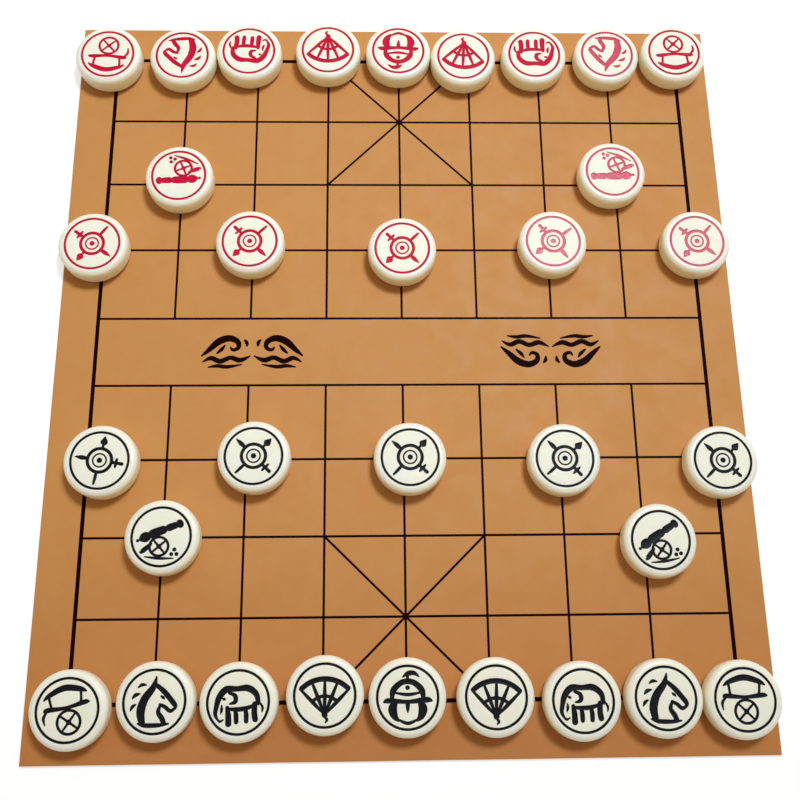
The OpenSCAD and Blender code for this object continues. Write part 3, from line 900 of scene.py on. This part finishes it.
def waveStrokes():
    # A breaking wave over a swell, each stroke a list of x, y, half width
    return [
        [[-13, -2.4, 0.4], [-9, 1.2, 1.2], [-4, 5.8, 1.7], [1.5, 7.6, 1.6], [6, 5.6, 1.3], [6.4, 2.2, 1],
            [3.6, 1, 0.8], [2.2, 2.6, 0.4]],
        [[-5, -1, 0.4], [-2.4, 1.4, 0.9], [-0.6, 3.8, 0.3]],
        [[-12.4, -5.8, 0.3], [-8, -3.6, 1.1], [-3, -5.4, 1.2], [2.4, -3.4, 1.1], [7.6, -4.8, 1.2],
            [13, -2.4, 0.3]],
        [[-9.4, -8.7, 0.3], [-4.4, -8, 0.9], [1, -8.5, 0.9], [8.6, -7.2, 0.3]],
        [[9.4, 6.8, 0.3], [10.8, 5.2, 0.9], [11, 3, 0.4]],
    ]


def riverShell():
    # Four waves in two pairs. The second of each pair is a mirror image, and the right pair is turned half
    # round.
    r, g = riverShape, gridShape
    shells = []
    for turn in (1, -1):
        for way in (-1, 1):
            for stroke in waveStrokes():
                p = np.array(stroke) * (r["waveWidth"] / r["drawnWidth"])
                x = (-r["pairX"] + way * r["pitch"] / 2 - way * p[:, 0]) * turn + g["centre"][0]
                y = p[:, 1] * turn + g["centre"][1]
                points = np.stack([x, y, p[:, 2] * strokeWeight], -1)
                shells.append(flatStroke(points, g["printBottom"], g["printTop"]))
    return joined(shells)


def addPrint():
    # Three thin pieces pressed into the leather
    g = gridShape
    made = []
    for name, shell in [("printed_grid", latticeShell(gridBars(), g["printBottom"], g["printTop"])),
            ("palace_lines", palaceShell()), ("river_waves", riverShell())]:
        made.append(addPiece(name, makeMesh(name, shell, [ink]), "sheet", "print"))
    return made


printPieces = addPrint()
print("print added")


# Studio

studio = {
    "keyFrom": (365.0, 565.0, 1490.0), "keyAt": (-110.0, 60.0, 0.0),    # mm
    "keySize": 0.4, "keySpread": 90,    # m and degrees
    "keyPower": 5.0, "keyColour": (0.836, 0.932, 1.04),
    "nearAir": (0.28, 0.21, 0.14, 1.0), "farAir": (0.49, 0.44, 0.38, 1.0),
    "floorColour": paint(246, 246, 246), "floorSide": 6000.0, "floorDrop": -0.3,    # mm
    "floorGlow": 0.5, "glowStrength": 1.25, "glowFrom": 300, "glowTo": 900,     # from and to in mm
    "cameraPlace": (-15.9, -177.5, 531.3), "cameraAim": (-0.13, -25.9, 1.5),    # mm
    "cameraRoll": 5.46, "lens": 43.46, "sensor": 36.0,      # degrees and mm
}


def seenDirectly(wire):
    # 1 for what the camera sees straight, in a mirror or through glass
    path = wire.tree.nodes.new("ShaderNodeLightPath")
    seen = [Wire(wire.tree, path.outputs[name]) for name in
        ("Is Camera Ray", "Is Glossy Ray", "Is Transmission Ray")]
    return wire.maths("MAXIMUM", seen[0], wire.maths("MAXIMUM", seen[1], seen[2]))


def addFloor():
    # A pale floor that glows where it is seen: in part nearby, where it takes the object's shadow, and wholly
    # far away
    s = studio
    side, drop = s["floorSide"], s["floorDrop"]
    points = np.array([[-side, -side, drop], [side, -side, drop], [side, side, drop], [-side, side, drop]])
    material, shader, place = newMaterial("paleFloor", {"Base Color": s["floorColour"], "Roughness": 1.0,
        "Specular IOR Level": 0.0})
    tree = material.node_tree
    glow = tree.nodes.new("ShaderNodeEmission")
    glow.inputs["Strength"].default_value = s["glowStrength"]
    mix = tree.nodes.new("ShaderNodeMixShader")
    distance = place.node("ShaderNodeVectorMath", {"operation": "LENGTH"}, {0: place}, 1)
    share = seenDirectly(place) * distance.ramp(s["glowFrom"], s["glowTo"], s["floorGlow"], 1.0)
    tree.links.new(share.socket, mix.inputs[0])
    tree.links.new(shader.outputs[0], mix.inputs[1])
    tree.links.new(glow.outputs[0], mix.inputs[2])
    tree.links.new(mix.outputs[0], tree.nodes["Material Output"].inputs["Surface"])
    mesh = makeMesh("studioFloor", (points, [[0, 1, 2, 3]], [0]), [material])
    floor = bpy.data.objects.new("studioFloor", mesh)
    bpy.context.scene.collection.objects.link(floor)


def addWorld():
    # White wherever it is seen. As light it is dim and warm from the near side and brighter from the far
    # side, and goes smoothly from one to the other with the direction's Y.
    world = bpy.data.worlds.new("studioAir")
    world.use_nodes = True
    bpy.context.scene.world = world
    tree = world.node_tree
    way = Wire(tree, tree.nodes.new("ShaderNodeTexCoord").outputs["Object"])
    air = way.part("Y").ramp(-1, 1).tint(studio["nearAir"], studio["farAir"])
    colour = seenDirectly(way).tint(air, (1.0, 1.0, 1.0, 1.0))
    tree.links.new(colour.socket, tree.nodes["Background"].inputs["Color"])


def placed(holder, place, aim, roll=0.0):
    # Stands at a place in millimetres, looks at another, and is turned about its own line of sight
    place, aim = Vector(place), Vector(aim)
    level = (aim - place).to_track_quat("-Z", "Y").to_matrix().to_4x4()
    turn = Matrix.Rotation(math.radians(roll), 4, "Z")
    holder.matrix_world = Matrix.Translation(place * mm) @ level @ turn
    bpy.context.scene.collection.objects.link(holder)


def addKeyLamp():
    # A soft disc of light above the far right, whose beam fades towards the near edge of the sheet
    s = studio
    lamp = bpy.data.lights.new("keyLamp", "AREA")
    lamp.shape, lamp.size, lamp.energy, lamp.color = "DISK", s["keySize"], s["keyPower"], s["keyColour"]
    lamp.spread = math.radians(s["keySpread"])
    placed(bpy.data.objects.new("keyLamp", lamp), s["keyFrom"], s["keyAt"])


def addCamera():
    # It looks down on the near side of the sheet from above, turned a little about its own line of sight
    s = studio
    camera = bpy.data.cameras.new("viewCamera")
    camera.lens, camera.sensor_width = s["lens"], s["sensor"]
    camera.clip_start, camera.clip_end = 0.01, 50.0
    holder = bpy.data.objects.new("viewCamera", camera)
    placed(holder, s["cameraPlace"], s["cameraAim"], s["cameraRoll"])
    bpy.context.scene.camera = holder


addFloor()
addWorld()
addKeyLamp()
addCamera()
print("studio ready")
